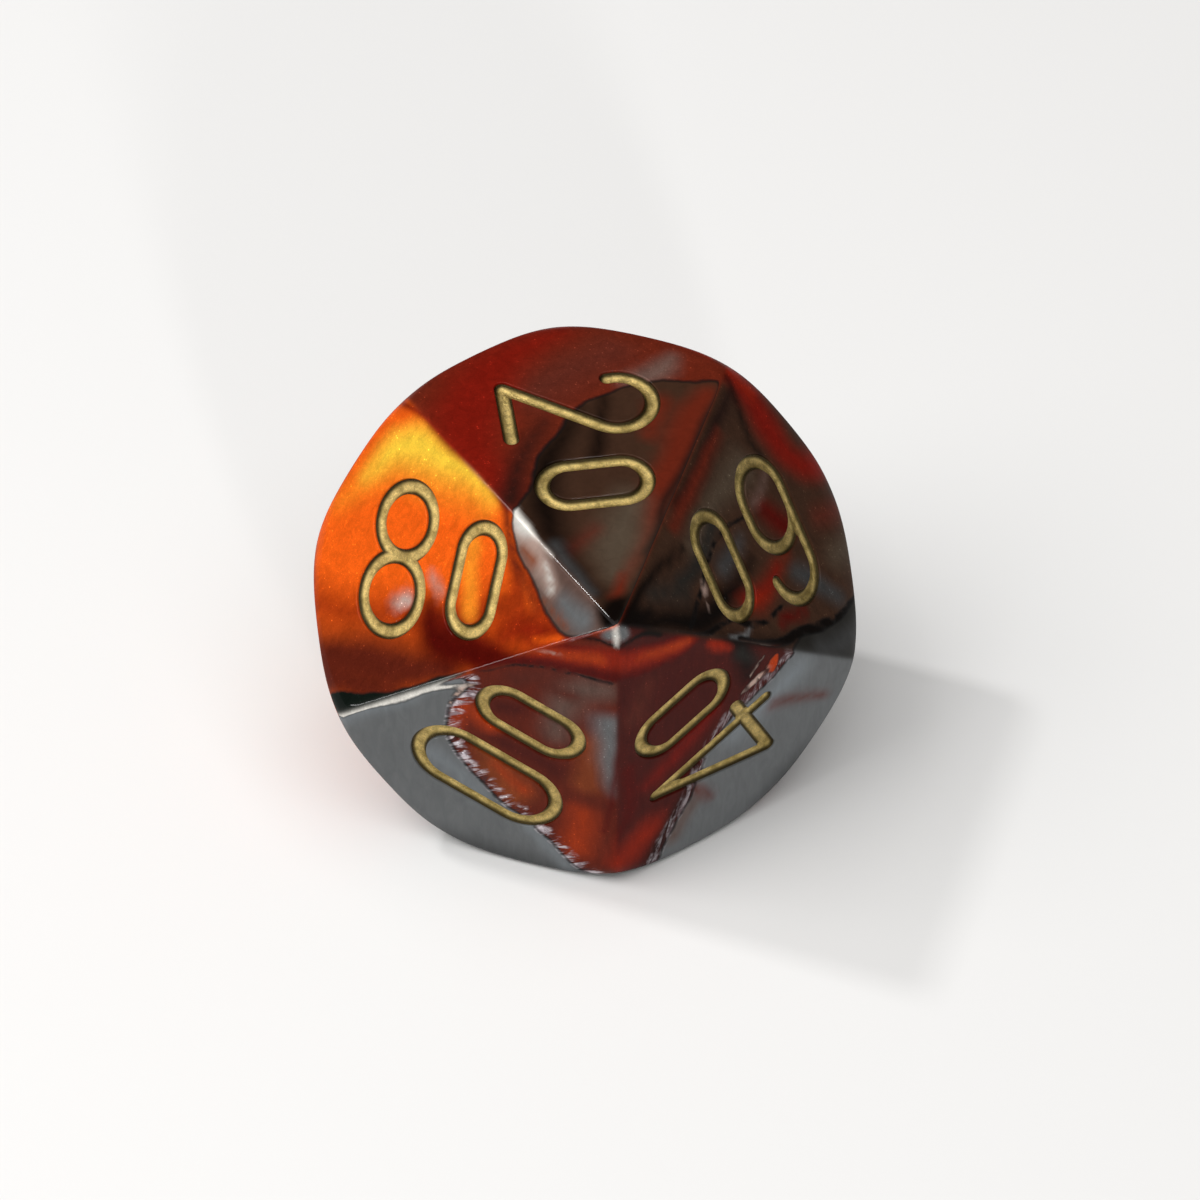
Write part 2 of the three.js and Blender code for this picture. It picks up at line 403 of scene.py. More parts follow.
def groove_height(face, points):
    """The body's height from the face: level, round the rim, down the groove's wall and level again."""
    away = distance_to_number(points, face)
    lip = np.clip((HALF_STROKE + RIM - away) / RIM, 0, 1)
    rim = -RIM * (1 - np.sqrt(1 - lip**2))
    wall = np.clip((HALF_STROKE - away) / WALL, 0, 1)
    return rim - (GROOVE_DEPTH - RIM) * wall


def paint_height(strokes, points):
    """How far above the face the paint's top is, which is a hollow arc across each stroke."""
    away = distance_to_digit(points, strokes)
    radius = (HALF_STROKE**2 + PAINT_DISH**2) / (2 * PAINT_DISH)
    edge = math.sqrt(radius**2 - HALF_STROKE**2)
    inside = np.minimum(away, HALF_STROKE)
    return edge - PAINT_TOP - np.sqrt(radius**2 - inside**2)


def triangulated(rings, lines, loose):
    """Triangles over all the points, with every ring and line kept as edges."""
    points, edges = [], []
    for line, closed in [(ring, True) for ring in rings] + [(line, False) for line in lines]:
        first = len(points)
        points.extend(line)
        count = len(line)
        edges.extend((first + i, first + (i + 1) % count) for i in range(count if closed else count - 1))
    points.extend(loose)
    flat = [Vector(p) for p in points]
    out, _, triangles, sources, _, _ = geometry.delaunay_2d_cdt(flat, edges, [], 0, WELD)
    exact = np.array([points[source[0]] if source else tuple(p) for p, source in zip(out, sources)])
    triangles = np.array(triangles)
    a, b, c = (exact[triangles[:, i]] for i in range(3))
    area = (b[:, 0] - a[:, 0]) * (c[:, 1] - a[:, 1]) - (b[:, 1] - a[:, 1]) * (c[:, 0] - a[:, 0])
    triangles[area < 0] = triangles[area < 0][:, ::-1]
    return exact, triangles[np.abs(area) > SLIVER]


def surface_normals(surface, points):
    """Normals of a surface given as a function of places on a plane."""
    nudge = 0.002
    ends = [surface(points + shift) for shift in ((nudge, 0), (-nudge, 0), (0, nudge), (0, -nudge))]
    normal = np.cross(ends[0] - ends[1], ends[2] - ends[3])
    return normal / np.linalg.norm(normal, axis=1)[:, None]


def kite_row(depth):
    """A ring of points round the kite, at a depth inside its sides."""
    shrunk = KITE_CENTRE + (KITE - KITE_CENTRE) * (1 - depth / KITE_RADIUS)
    row = []
    for i, corner in enumerate(shrunk):
        following = shrunk[(i + 1) % 4]
        length = np.hypot(*(KITE[(i + 1) % 4] - KITE[i]))
        count = round(length / STEP)
        row.append(corner + (following - corner) * np.arange(count)[:, None] / count)
    return np.vstack(row)


def face_grid(face):
    """Points spread over the open part of a face, clear of its edges and of its digits."""
    steps_x = np.arange(-POLE_X, POLE_X, GRID)
    steps_y = np.arange(-SIDE_Y, SIDE_Y, GRID * math.sqrt(3) / 2)
    grid = np.array([(x + (GRID / 2 if j % 2 else 0), y) for j, y in enumerate(steps_y) for x in steps_x])
    grid = grid[inset(grid) > EDGE_ROWS[-1] + GRID / 2]
    return grid[distance_to_number(grid, face) > HALF_STROKE + RIM + GRID / 2]


def body_patch(face):
    """The body's surface over one face, with its two grooves."""
    rings = [kite_row(depth) for depth in [0, *EDGE_ROWS]]
    reaches = [HALF_STROKE + RIM * row for row in RIM_ROWS] + [HALF_STROKE - WALL]
    for strokes in face["digits"].values():
        for stroke in strokes:
            for reach in reaches:
                rings.extend(outlines(stroke, reach))
    points, triangles = triangulated(rings, [], face_grid(face))

    def surface(places):
        return body_points(face, places, groove_height(face, places))

    return surface(points), triangles, surface_normals(surface, points)


def joined(patches):
    """One mesh from patches that share the points along their borders."""
    points = np.vstack([patch[0] for patch in patches])
    normals = np.vstack([patch[2] for patch in patches])
    starts = np.cumsum([0] + [len(patch[0]) for patch in patches])
    triangles = np.vstack([patch[1] + start for patch, start in zip(patches, starts)])
    keys = np.round((points + SEAM_OFFSET) / SEAM_CELL)
    _, first, which = np.unique(keys, axis=0, return_index=True, return_inverse=True)
    triangles = which.reshape(-1)[triangles]
    a, b, c = triangles.T
    triangles = triangles[(a != b) & (b != c) & (c != a)]
    return points[first], triangles, normals[first]


def add_object(name, data):
    made = bpy.data.objects.new(name, data)
    bpy.context.scene.collection.objects.link(made)
    return made


def store(mesh, name, kind, numbers):
    """Keeps numbers for each point of a mesh, where its material finds them."""
    field = {"FLOAT": "value", "FLOAT_VECTOR": "vector", "FLOAT_COLOR": "color"}[kind]
    mesh.attributes.new(name, kind, "POINT").data.foreach_set(field, numbers.flatten())


def make_mesh(name, points, triangles, normals, material, slot_name):
    mesh = bpy.data.meshes.new(name)
    mesh.from_pydata(((points + CENTRE) * MM).tolist(), [], triangles.tolist())
    mesh.update()
    mesh.polygons.foreach_set("use_smooth", [True] * len(mesh.polygons))
    mesh.normals_split_custom_set_from_vertices(normals.tolist())
    mesh.materials.append(material)
    piece = add_object(name, mesh)
    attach(piece, "root")
    return piece


def paint_piece(face, digit, strokes, material):
    """The dried paint in one digit: a dished top, sides clear of the groove's walls and a flat underside."""
    reach = HALF_STROKE - PAINT_CLEAR
    closed_lines = [centre_line(stroke) for stroke in strokes if stroke[1]]
    open_lines = [centre_line(stroke) for stroke in strokes if not stroke[1]]
    rings = []
    for stroke in strokes:
        for share in PAINT_ROWS:
            rings.extend(outlines(stroke, reach * share))
    points, triangles = triangulated(rings + closed_lines, open_lines, [])
    middle = points[triangles].mean(axis=1)
    triangles = triangles[distance_to_digit(middle, strokes) < reach * INSIDE_PAINT]
    used, triangles = np.unique(triangles, return_inverse=True)
    triangles = triangles.reshape(-1, 3)
    points = points[used]
    count = len(points)
    along_face, normal = face["axes"][:2], face["axes"][2]

    def top(places):
        return places @ along_face + (INRADIUS + paint_height(strokes, places))[:, None] * normal

    under = points @ along_face + (INRADIUS - GROOVE_DEPTH + PAINT_CLEAR) * normal
    half_edges = np.vstack([triangles[:, [0, 1]], triangles[:, [1, 2]], triangles[:, [2, 0]]])
    known = set(map(tuple, half_edges))
    border = [(a, b) for a, b in known if (b, a) not in known]
    sides = [(a, a + count, b + count) for a, b in border] + [(a, b + count, b) for a, b in border]
    all_points = np.vstack((top(points), under))
    all_triangles = np.vstack((triangles, np.array(sorted(sides)), triangles[:, ::-1] + count))
    normals = np.vstack((surface_normals(top, points), np.tile(-normal, (count, 1))))
    number = f"{face['tens']}0_{digit}"
    piece = make_mesh(f"paint_{number}", all_points, all_triangles, normals, material, "gold_paint")
    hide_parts(f"gold_{number}")
    across = distance_to_digit(np.vstack((points, points)), strokes) / HALF_STROKE
    store(piece.data, "across", "FLOAT", across)


# ---- swirl of the two resins, laid out face by face in the face's own frame

PALETTE = {
    "black": 0x0C0705,
    "green_black": 0x0C120E,
    "smoke": 0x22130F,
    "cocoa": 0x3A261B,
    "umber": 0x56241A,
    "bronze": 0x4C4034,
    "maroon": 0x451510,
    "wine": 0x500A05,
    "deep_red": 0x70140A,
    "brick": 0x5E2012,
    "red": 0x88200A,
    "vermilion": 0xA4360E,
    "orange": 0xFA6416,
    "amber": 0xFF9226,
    "yellow": 0xFFD040,
    "sienna": 0x86401E,
    "charcoal": 0x24221F,
    "slate": 0x3A3A3A,
    "steel": 0x6A6C6D,
    "pale_steel": 0x7E8488,
    "mauve": 0x624C44,
    "blush": 0xB0968A,
    # A pale colour for pearl streaks, and for painted highlights and reflections on the edges, the pole and
    # the crescent.
    "pearl_and_painted_highlight": 0xD6D2CA,
}


def linear(name):
    """A colour's channels as amounts of light; the numbers are those of the sRGB curve."""
    code = PALETTE[name]
    channels = np.array([(code >> shift & 255) / 255 for shift in (16, 8, 0)])
    return np.where(channels <= 0.04045, channels / 12.92, ((channels + 0.055) / 1.055) ** 2.4)


# A stream is (colour, softness of its border, its spine), and a spine's points are (x, y, half width).
# "ground" is under the streams, "sheet" is the outline of the second resin, "inlay" holds its own streams
# and "bands" lie over both. "frost" is how strongly the sheet's border glitters. The face's brightness
# factor is painted light and shade: it makes the face lighter or darker for how the lamps fall on it.
SWIRL = {}
SWIRL[8] = {
    "painted_face_light": 0.7,
    "frost": 0,
    "ground": "orange",
    "streams": [
        # The amber and yellow streams along the top of this face are painted sheen: painted light where the
        # lamps catch the face.
        ("amber", 1, [(-7.2, 1.8, 0.1), (-5.4, 3.8, 0.6), (-3, 4, 0.7), (0.4, 3.3, 0.5)]),
        ("yellow", 0.7, [(-6.2, 3, 0.1), (-4.4, 5, 0.8), (-2, 4.8, 0.6), (0.8, 3.8, 0.3)]),
        ("vermilion", 1.1, [(-7.8, -2.4, 0.7), (-3, -2.2, 0.7), (1.4, -1.2, 0.7), (4, 0, 1.4)]),
        ("deep_red", 0.7, [(-1.2, -0.9, 0.1), (-0.2, -2, 0.7), (3, -2.6, 0.6), (5.4, -1.9, 0.2)]),
        ("brick", 1, [(-7, -4.6, 1.2), (-3, -4.1, 1.3), (0.5, -3.6, 1)]),
        ("brick", 0.7, [(-8, -4.8, 0.9), (-5.4, -5.4, 0.8), (-2.4, -5, 0.6)]),
        ("wine", 0.6, [(-1.2, -1.4, 0.3), (-0.6, -2.6, 0.8), (2.2, -2.9, 0.7), (4.2, -2.3, 0.3)]),
        ("vermilion", 0.6, [(2.5, 1.8, 0.3), (2.9, 0, 0.8), (4.2, -0.4, 1.4), (6.4, -1.1, 1)]),
        ("orange", 0.4, [(2.4, 1.4, 0.05), (2.6, 0.2, 0.2)]),
        ("red", 0.5, [(3, -1.6, 0.3), (4.4, -0.9, 0.4), (6, -1.2, 0.5), (8, -0.9, 0.3)]),
        ("orange", 0.3, [(3.4, 0.7, 0.05), (4.2, -0.1, 0.12)]),
        # The next two streams, a small orange streak and a blush spot between the digits, are painted
        # highlights.
        ("orange", 0.3, [(4.9, -1.3, 0.02), (6, -1.1, 0.12)]),
        ("blush", 0.4, [(-1.5, -0.1, 0.1), (-0.9, -0.5, 0.12)]),
        ("blush", 0.4, [(-3, -1.6, 0.15), (-2.5, -1.3, 0.25)]),
        ("pearl_and_painted_highlight", 0.3, [(-2.7, -1.8, 0.02), (-2.4, -1.4, 0.1)]),
        ("amber", 0.35, [(0.5, 1.6, 0.4), (1, -1, 0.4)]),
        ("brick", 0.35, [(1.6, 3.9, 0.2), (2.1, 2.4, 0.2), (3, 1, 0.2), (4.4, -0.1, 0.1)]),
        ("deep_red", 0.22, [(-6, 6.7, 0.1), (-2, 5.45, 0.2), (1.6, 3.75, 0.4)]),
        ("red", 0.25, [(-8.8, 0, 0.1), (-7.6, 3, 0.1), (-5.9, 6.4, 0.1)]),
        ("brick", 0.3, [(-8.6, 0.4, 0.1), (-8, -2.6, 0.2), (-6.2, -6, 0.3)]),
        ("wine", 0.3, [(2, -3.3, 0.2), (4.6, -2.1, 0.12), (8.4, -0.5, 0.1)]),
    ],
    "sheet": [
        (2, 4.6), (9, 1), (9, -0.4), (7.3, -0.9), (6.2, -0.9),
        (5, -0.2), (4, 0.7), (2.9, 1.6), (2.3, 2.6), (2.1, 3.6),
    ],
    "sheet_ground": "mauve",
    "inlay": [
        ("blush", 0.4, [(2.6, 2.9, 0.5), (4.2, 1.4, 0.5), (5, 0.8, 0.3)]),
        ("sienna", 0.3, [(3, 2, 0.1), (3.7, 1.5, 0.22)]),
        ("sienna", 0.2, [(4.8, 0.2, 0.05), (6.2, -0.5, 0.1)]),
        ("steel", 0.5, [(5.8, 0.4, 0.4), (7, -0.2, 0.5)]),
        # The pale streaks of the crescent are partly a pale resin streak and partly painted highlight where
        # the edge to 20 catches the lamps.
        ("pearl_and_painted_highlight", 0.3, [(2.3, 3.7, 0.4), (2.7, 2.9, 0.4), (3.6, 2.6, 0.1)]),
        ("pearl_and_painted_highlight", 0.2, [(4.4, 1.5, 0.05), (4.9, 0.9, 0.12), (5.1, 0.5, 0.02)]),
        # Black round the pole tip: painted dark reflection.
        ("black", 0.3, [(7.7, 0.6, 0.2), (8.3, 0.2, 0.5), (9, 0, 0.8)]),
    ],
    "bands": [
        # A dark band on the rounded edge to 00: painted dark reflection.
        ("green_black", [(-5.8, -7, 1), (-3.4, -6, 0.62), (-0.4, -4.6, 0.32), (2.2, -3.3, 0.05)]),
    ],
}
SWIRL[2] = {
    "painted_face_light": 1.1,
    "frost": 0,
    "ground": "brick",
    "streams": [
        ("umber", 1.2, [(-6.4, 2, 0.8), (-4.4, -1.4, 1)]),
        ("deep_red", 1.1, [(-8, 0.6, 0.3), (-7, -2.2, 1), (-3.6, -4.8, 1.6), (0.6, -3.8, 0.8)]),
        ("mauve", 0.6, [(-5.6, 4.4, 0.2), (-4.7, 3.6, 0.6), (-4.6, 2.6, 0.4)]),
        ("brick", 0.4, [(-8, 0.6, 0.2), (-6.9, 3.9, 0.35), (-5, 6.2, 0.3), (-2, 7, 0.3)]),
        ("red", 0.3, [(-8.6, 0, 0.05), (-7.4, 3.7, 0.1), (-5.6, 6, 0.1)]),
        ("smoke", 0.7, [(-2.6, -1.4, 0.1), (-0.8, -2.4, 0.3), (1.4, -3.4, 0.5)]),
    ],
    "sheet": [
        (-4, 6.9), (-4.15, 5), (-4.3, 2.8), (-4, 1.2), (-3.2, -0.2), (-1.4, -1.4), (0.4, -2.2),
        (1.6, -3), (2.4, -3.8), (9, -1), (10, 1), (-3.4, 7.6),
    ],
    "sheet_ground": "cocoa",
    "inlay": [
        ("brick", 0.5, [(-3.3, 5.4, 0.5), (-1, 4.1, 0.8), (3, 2.2, 0.5), (6.2, 0.8, 0.15)]),
        ("brick", 0.5, [(-3, 3.6, 0.4), (-1.4, 2.8, 0.3)]),
        ("smoke", 0.3, [(-4, 6.5, 0.1), (0.4, 3.9, 0.15), (5, 1.7, 0.2)]),
        ("charcoal", 0.5, [(-2, 6.6, 0.2), (1, 4.6, 0.3), (4, 3, 0.3), (7, 1.4, 0.2)]),
        ("bronze", 0.9, [(2.2, 1.6, 0.6), (4.2, 0.6, 1), (5.8, 0.4, 0.5)]),
        ("umber", 0.6, [(3.6, -0.2, 0.1), (4.6, -1.2, 0.2)]),
        ("black", 0.8, [(-3.2, 0, 0.2), (-1.4, -1, 0.5), (1.4, -2.2, 0.7), (4.4, -1.7, 0.4), (7, -0.6, 0.2)]),
        ("black", 0.5, [(-3.8, 1.4, 0.15), (-2.2, 0.8, 0.25), (-0.6, 0.5, 0.3)]),
        ("brick", 0.3, [(6.1, 0.7, 0.1), (7.1, 0.3, 0.25), (7.3, -0.1, 0.1)]),
        # Black round the pole tip: painted dark reflection.
        ("black", 0.35, [(7.4, 0.7, 0.1), (7.8, -0.1, 0.6), (9, 0, 1)]),
        ("slate", 0.4, [(4.2, -1.8, 0.15), (6.8, -0.8, 0.15)]),
        # The pale tip of the crescent on this side of the edge to 80 is partly a pale resin streak and partly
        # painted highlight.
        ("pearl_and_painted_highlight", 0.15, [(1.9, -3.2, 0.12), (3.6, -2.55, 0.14), (4.8, -2, 0.06)]),
    ],
    "bands": [],
}
SWIRL[6] = {
    "painted_face_light": 1.12,
    "frost": 0,
    "ground": "cocoa",
    "streams": [
        ("bronze", 0.9, [(-8, 2.6, 0.6), (-6.4, 2.4, 0.4)]),
        ("umber", 0.7, [(-7.6, 0.8, 0.4), (-6.2, 0.6, 0.3)]),
        ("deep_red", 0.6, [
            (-8.6, -1.2, 0.6), (-6.4, -1.4, 0.6), (-5.6, -3.4, 0.7), (-5, -6, 0.7), (-4, -7.6, 0.6),
        ]),
        ("red", 0.5, [(-5.4, -5.2, 0.1), (-4.8, -6.6, 0.3)]),
        ("bronze", 0.8, [(-2.8, -2.8, 0.6), (0, -2.1, 0.4), (2.4, -1.2, 0.3)]),
        ("slate", 0.5, [(-5.4, 4, 0.3), (-4, 2.6, 0.5), (-3.4, 2.3, 0.4)]),
        ("slate", 0.5, [(-1, -0.3, 0.1), (0.2, 0.2, 0.3), (1.1, 0.4, 0.4)]),
        ("charcoal", 0.4, [(0.4, -1.4, 0.3), (2.4, -0.4, 0.4), (4, -0.2, 0.3)]),
        ("wine", 0.5, [(-4, 0.4, 0.5), (-3, -0.9, 0.4)]),
        ("mauve", 0.4, [(-4, -2, 0.1), (-2.6, -1.3, 0.12)]),
        ("brick", 0.5, [(-3.4, 1.3, 0.2), (-1.8, 1.7, 0.5), (-0.2, 2.3, 0.6), (1, 1.7, 0.3)]),
        ("deep_red", 0.4, [(-2.4, 1.5, 0.1), (-0.6, 2.1, 0.25), (0.8, 1.8, 0.1)]),
        ("red", 0.3, [(-1, 2.2, 0.05), (0.2, 2.1, 0.12)]),
        ("wine", 0.3, [(-2.8, 3.8, 0.2), (-1.2, 3.5, 0.25)]),
        ("black", 0.5, [(-1, 0.6, 0.1), (1, 1.4, 0.35), (3, 1.8, 0.7), (5, 1.2, 0.5), (8, 0.4, 0.3)]),
        ("charcoal", 0.6, [(4, 0.3, 0.3), (6, -0.3, 0.3)]),
        ("black", 0.5, [(-1.2, 4.4, 0.1), (1, 3.9, 0.5), (3, 3.1, 0.4)]),
        ("steel", 0.15, [(0.8, 3, 0.02), (1.5, 3.3, 0.1), (2.4, 3, 0.02)]),
        ("black", 0.3, [(3, -1.3, 0.1), (5.8, -0.9, 0.2), (8, -0.3, 0.3)]),
        # Black round the pole tip: painted dark reflection.
        ("black", 0.4, [(6.6, 0.3, 0.3), (8, 0, 0.7), (9, 0, 1)]),
        ("smoke", 0.4, [(-4, -5.6, 0.2), (-1, -4, 0.4), (2, -2.9, 0.4)]),
        ("brick", 0.4, [(-2.4, -4.4, 0.1), (0, -3.6, 0.3), (3, -2.2, 0.2)]),
        ("black", 0.3, [(-4.3, -6.4, 0.1), (-4.1, -3.6, 0.12), (-4.6, -2.4, 0.05)]),
        ("blush", 0.08, [(2.1, 0.2, 0.01), (2.3, 0.9, 0.05), (2.2, 1.5, 0.01)]),
        ("blush", 0.08, [(2.6, 0, 0.01), (2.8, 0.7, 0.04), (2.9, 1.3, 0.01)]),
    ],
    "sheet": [
        (-8.4, 4), (-6, 4.6), (-3.6, 4.7), (-1.6, 4.6), (-0.6, 5.2), (-0.4, 9), (-9, 9),
    ],
    "sheet_ground": "charcoal",
    "inlay": [
        ("slate", 0.6, [(-5.6, 5.8, 0.5), (-3, 5.4, 0.3)]),
    ],
    "bands": [
        ("black", [(-7.2, 4.3, 0.06), (-5.4, 4.6, 0.14), (-3, 4.6, 0.22), (0, 4.1, 0.18), (1.8, 3.3, 0.2)]),
        ("black", [
            (-1.8, -1, 0.06), (0.4, -0.85, 0.09), (2, -0.3, 0.09), (3.4, 0.9, 0.12), (4.6, 1.6, 0.05),
        ]),
        ("black", [(-1.5, 3, 0.08), (0.4, 3.1, 0.12), (1.6, 2.6, 0.12), (1.9, 1.4, 0.06)]),
        ("black", [(1.2, 2.4, 0.05), (3.4, 2.3, 0.14), (5.6, 1.6, 0.08)]),
    ],
}
SWIRL[0] = {
    "painted_face_light": 0.78,
    "frost": 1,
    "ground": "brick",
    "streams": [
        ("maroon", 0.7, [(-1, 0.8, 0.3), (-0.8, -1.8, 0.4)]),
        ("sienna", 0.8, [(1.8, -2.4, 0.4), (-0.6, -3.2, 0.5)]),
        ("mauve", 0.8, [(1.2, -0.8, 0.5), (4.2, -0.2, 0.7), (5.2, -1.2, 0.5)]),
        ("steel", 0.6, [(3.4, -2.2, 0.5), (1, -3.6, 0.4), (-0.4, -4.4, 0.1)]),
        ("umber", 0.6, [(2.8, 1.9, 0.3), (4.4, 0.6, 0.3)]),
        ("maroon", 0.5, [(0.9, 1.7, 0.3), (1.5, 1.1, 0.3)]),
        ("vermilion", 0.5, [(-1.4, 2.6, 0.2), (0, 3, 0.4), (-0.4, 1.4, 0.3)]),
        ("sienna", 0.8, [(-2.2, 1, 0.3), (-3, -1.2, 0.6)]),
        ("vermilion", 0.5, [(-2.6, 0.2, 0.1), (-2.9, -1.4, 0.2)]),
        ("sienna", 0.5, [(-3, 0.6, 0.2), (-3.6, -1.2, 0.2)]),
        ("vermilion", 0.8, [(-4.4, -4.6, 0.5), (-2.4, -3.8, 0.4)]),
        ("brick", 0.6, [(-1.6, -2.6, 0.2), (-1, -4.4, 0.4)]),
        ("red", 0.6, [(-4, -6.4, 0.4), (-1.4, -5.9, 0.5), (1.6, -4.9, 0.3)]),
        ("wine", 0.3, [(-2.8, -4.9, 0.05), (0.8, -4.1, 0.15), (5.8, -1.9, 0.15)]),
        # The red band round the pole and its crisp lower border are partly the resin's red and partly painted
        # reflection: the border is where the face mirrors the far edge of the table.
        ("wine", 0.08, [(2.2, 4.1, 0.3), (4.6, 2.4, 0.78), (5.7, 0.7, 0.88), (6.8, -1.3, 0.9)]),
        ("red", 0.4, [(4.2, 2.8, 0.2), (5.8, 1, 0.5), (7.2, -1.2, 0.6)]),
        ("vermilion", 0.3, [(3.6, 3.2, 0.05), (5.2, 1.9, 0.2), (6.5, -0.2, 0.3)]),
        # At the pole tip the black border and the steel patch are partly painted reflection, and the pearl
        # streak is a painted glint.
        ("black", 0.12, [(6.9, 1.2, 0.05), (7.6, 0.3, 0.1), (7.7, -0.6, 0.1)]),
        ("steel", 0.2, [(8.1, 0, 0.25), (9, 0, 0.6)]),
        ("pearl_and_painted_highlight", 0.12, [(7.7, -0.56, 0.02), (8.1, -0.38, 0.14), (8.9, 0, 0.1)]),
        # A painted highlight on the red band.
        ("blush", 0.1, [(5, 2, 0.01), (5.4, 1.5, 0.04), (5.6, 1.1, 0.01)]),
        ("umber", 0.4, [(3.4, 0.6, 0.2), (3.8, -0.4, 0.3)]),
    ],
    "sheet": [
        (1.5, 4.4), (1.1, 3.1), (-0.4, 3.2), (-2.1, 2.9), (-3.3, 1.7), (-4, 0), (-4.3, -1.6),
        (-4.9, -3.4), (-5.7, -5.6), (-6, -8), (-10, -5), (-10, 8), (1.6, 8),
    ],
    "sheet_ground": "steel",
    "inlay": [
        ("slate", 1.3, [(-9, 1, 0.4), (-7, -3.4, 0.3), (-6, -6, 0.4)]),
        ("pale_steel", 0.5, [(-5.6, 6.6, 0.1), (0.8, 3.9, 0.2)]),
        ("pale_steel", 0.8, [(-3.8, 2.6, 0.3), (-4.6, 0, 0.2)]),
        ("pale_steel", 0.6, [(-5, -2.6, 0.2), (-5.8, -4.8, 0.2)]),
    ],
    "bands": [
        # The dark border of the red band: painted reflection of the table's far edge.
        ("black", [(2.2, 3.3, 0.03), (3.8, 2.2, 0.05), (5.9, -1.6, 0.05)]),
        # The pearl and blush bands along the edge to 80 are painted highlight: they stand in for a lamp's
        # reflection on that edge.
        ("pearl_and_painted_highlight", [(-5, 6.5, 0.03), (-3.6, 6, 0.13), (-1.6, 5, 0.15), (-0.2, 4.15, 0.13), (0.9, 3.3, 0.06)]),
        ("blush", [(-1, 3.15, 0.02), (0, 3.3, 0.1), (0.9, 3.35, 0.12), (1.4, 2.9, 0.02)]),
    ],
}
SWIRL[4] = {
    "painted_face_light": 0.92,
    "frost": 0.45,
    "ground": "maroon",
    "streams": [
        ("red", 0.8, [(-4.6, 6.8, 0.5), (-3.8, 4.4, 0.6)]),
        ("deep_red", 0.8, [(-2, 6.4, 0.5), (0.8, 6.2, 0.5)]),
        ("deep_red", 0.6, [(-1.2, 3.2, 0.2), (-0.8, 0.8, 0.4), (-0.6, -0.6, 0.2)]),
        ("wine", 0.4, [(-3, 5.9, 0.1), (-1.6, 4.2, 0.3), (0.4, 3.4, 0.3)]),
        ("smoke", 0.35, [(-6, 5.6, 0.2), (-5, 4.4, 0.3), (-3.6, 2.4, 0.2), (-2.6, 1.2, 0.1)]),
        ("black", 0.5, [
            (-0.2, -2.6, 0.2), (0.8, -3.2, 0.4), (2.4, -3.6, 0.5), (4.6, -2.8, 0.3), (7, -1.2, 0.2),
        ]),
        ("charcoal", 0.4, [(0.4, -3.4, 0.1), (1.4, -3.2, 0.25)]),
        ("red", 0.2, [(3.5, -2.3, 0.15), (2.8, -2.7, 0.3), (2.1, -2.9, 0.1)]),
        ("umber", 0.8, [(3, 1.8, 0.4), (4.2, 0.6, 0.2)]),
        # The red band round the pole and its crisp lower border are partly the resin's red and partly painted
        # reflection: the border is where the face mirrors the far edge of the table.
        ("wine", 0.1, [
            (9.4, 1.9, 0.9), (7, 1.2, 0.85), (5.8, 0.2, 0.85), (5.1, -1, 0.7), (4.6, -2.3, 0.35),
        ]),
        ("red", 0.35, [(9.4, 1.9, 0.5), (7, 1.1, 0.5), (5.8, 0.1, 0.5), (5.1, -1, 0.4), (4.7, -1.9, 0.2)]),
        ("vermilion", 0.3, [(6, 0.2, 0.1), (5.2, -1, 0.25), (4.8, -1.7, 0.1)]),
        # At the pole tip the black border and the steel patch are partly painted reflection, and the pearl
        # streak is a painted glint.
        ("black", 0.12, [(6.4, -1.1, 0.2), (7.4, -0.6, 0.12), (7.7, 0.6, 0.1)]),
        ("steel", 0.2, [(8.1, 0, 0.25), (9, 0, 0.6)]),
        ("pearl_and_painted_highlight", 0.12, [(7.7, 0.56, 0.02), (8.1, 0.38, 0.14), (8.9, 0, 0.1)]),
    ],
    "sheet": [
        (-6.6, 6), (-5.4, 4.2), (-4.1, 2.4), (-3, 1), (-2, -0.6), (-1.4, -2), (-1.4, -3.6), (-1.3, -6),
        (-2.6, -8), (-10, -7), (-10, 6),
    ],
    "sheet_ground": "steel",
    "inlay": [
        ("slate", 1.2, [(-9, 1.6, 0.6), (-7.8, -2.6, 0.4)]),
        ("pale_steel", 0.9, [(-2.8, -0.8, 0.3), (-2.4, -4.2, 0.6)]),
        ("mauve", 0.6, [(-5.4, 3.8, 0.3), (-4.6, 2.4, 0.3)]),
        ("brick", 0.4, [(-5.2, 1.6, 0.1), (-3.8, 2, 0.2)]),
        ("brick", 0.5, [(-5, -4.8, 0.1), (-3, -2.9, 0.15)]),
    ],
    "bands": [
        ("vermilion", [(-1.1, -3.5, 0.1), (-0.7, -3.8, 0.32), (-0.4, -4.2, 0.15)]),
        ("blush", [(-0.9, -1.9, 0.04), (-0.7, -2.6, 0.2), (-0.6, -3.3, 0.15)]),
        ("blush", [(-0.3, -2.6, 0.03), (0.1, -3.3, 0.09), (0.2, -3.9, 0.03)]),
        ("blush", [(-1.8, -0.9, 0.03), (-1.4, -1.5, 0.08), (-1.3, -2.1, 0.02)]),
    ],
}

CORNER_CUTS = 2
CUT = 0.25  # share of a stretch that is cut off at each end
BAND_BLEND = 0.1  # how far one band's colour reaches into the next band
MIRROR_SHIFT = 2  # a far face takes the layout of the near face this many places on
COMB_LEAN = math.radians(-40)  # of the glitter's streaks, from the line to the pole
SWIRL_SHARPNESS = 2.5 * EDGE_SHARPNESS  # power of the change from one face's layout to the next one's
LEAST_WEIGHT = 1e-4  # a face that counts for less than this is left out
# Waves that bend straight borders: reach, how fast they run with x and with y, and where they start
WAVES_ACROSS = [(0.1, 0.8, 1.3, 0), (0.03, -1.3, 3.7, 0)]
WAVES_UP = [(0.1, 1.2, -0.7, 1), (0.03, 3.3, 1.9, 0)]
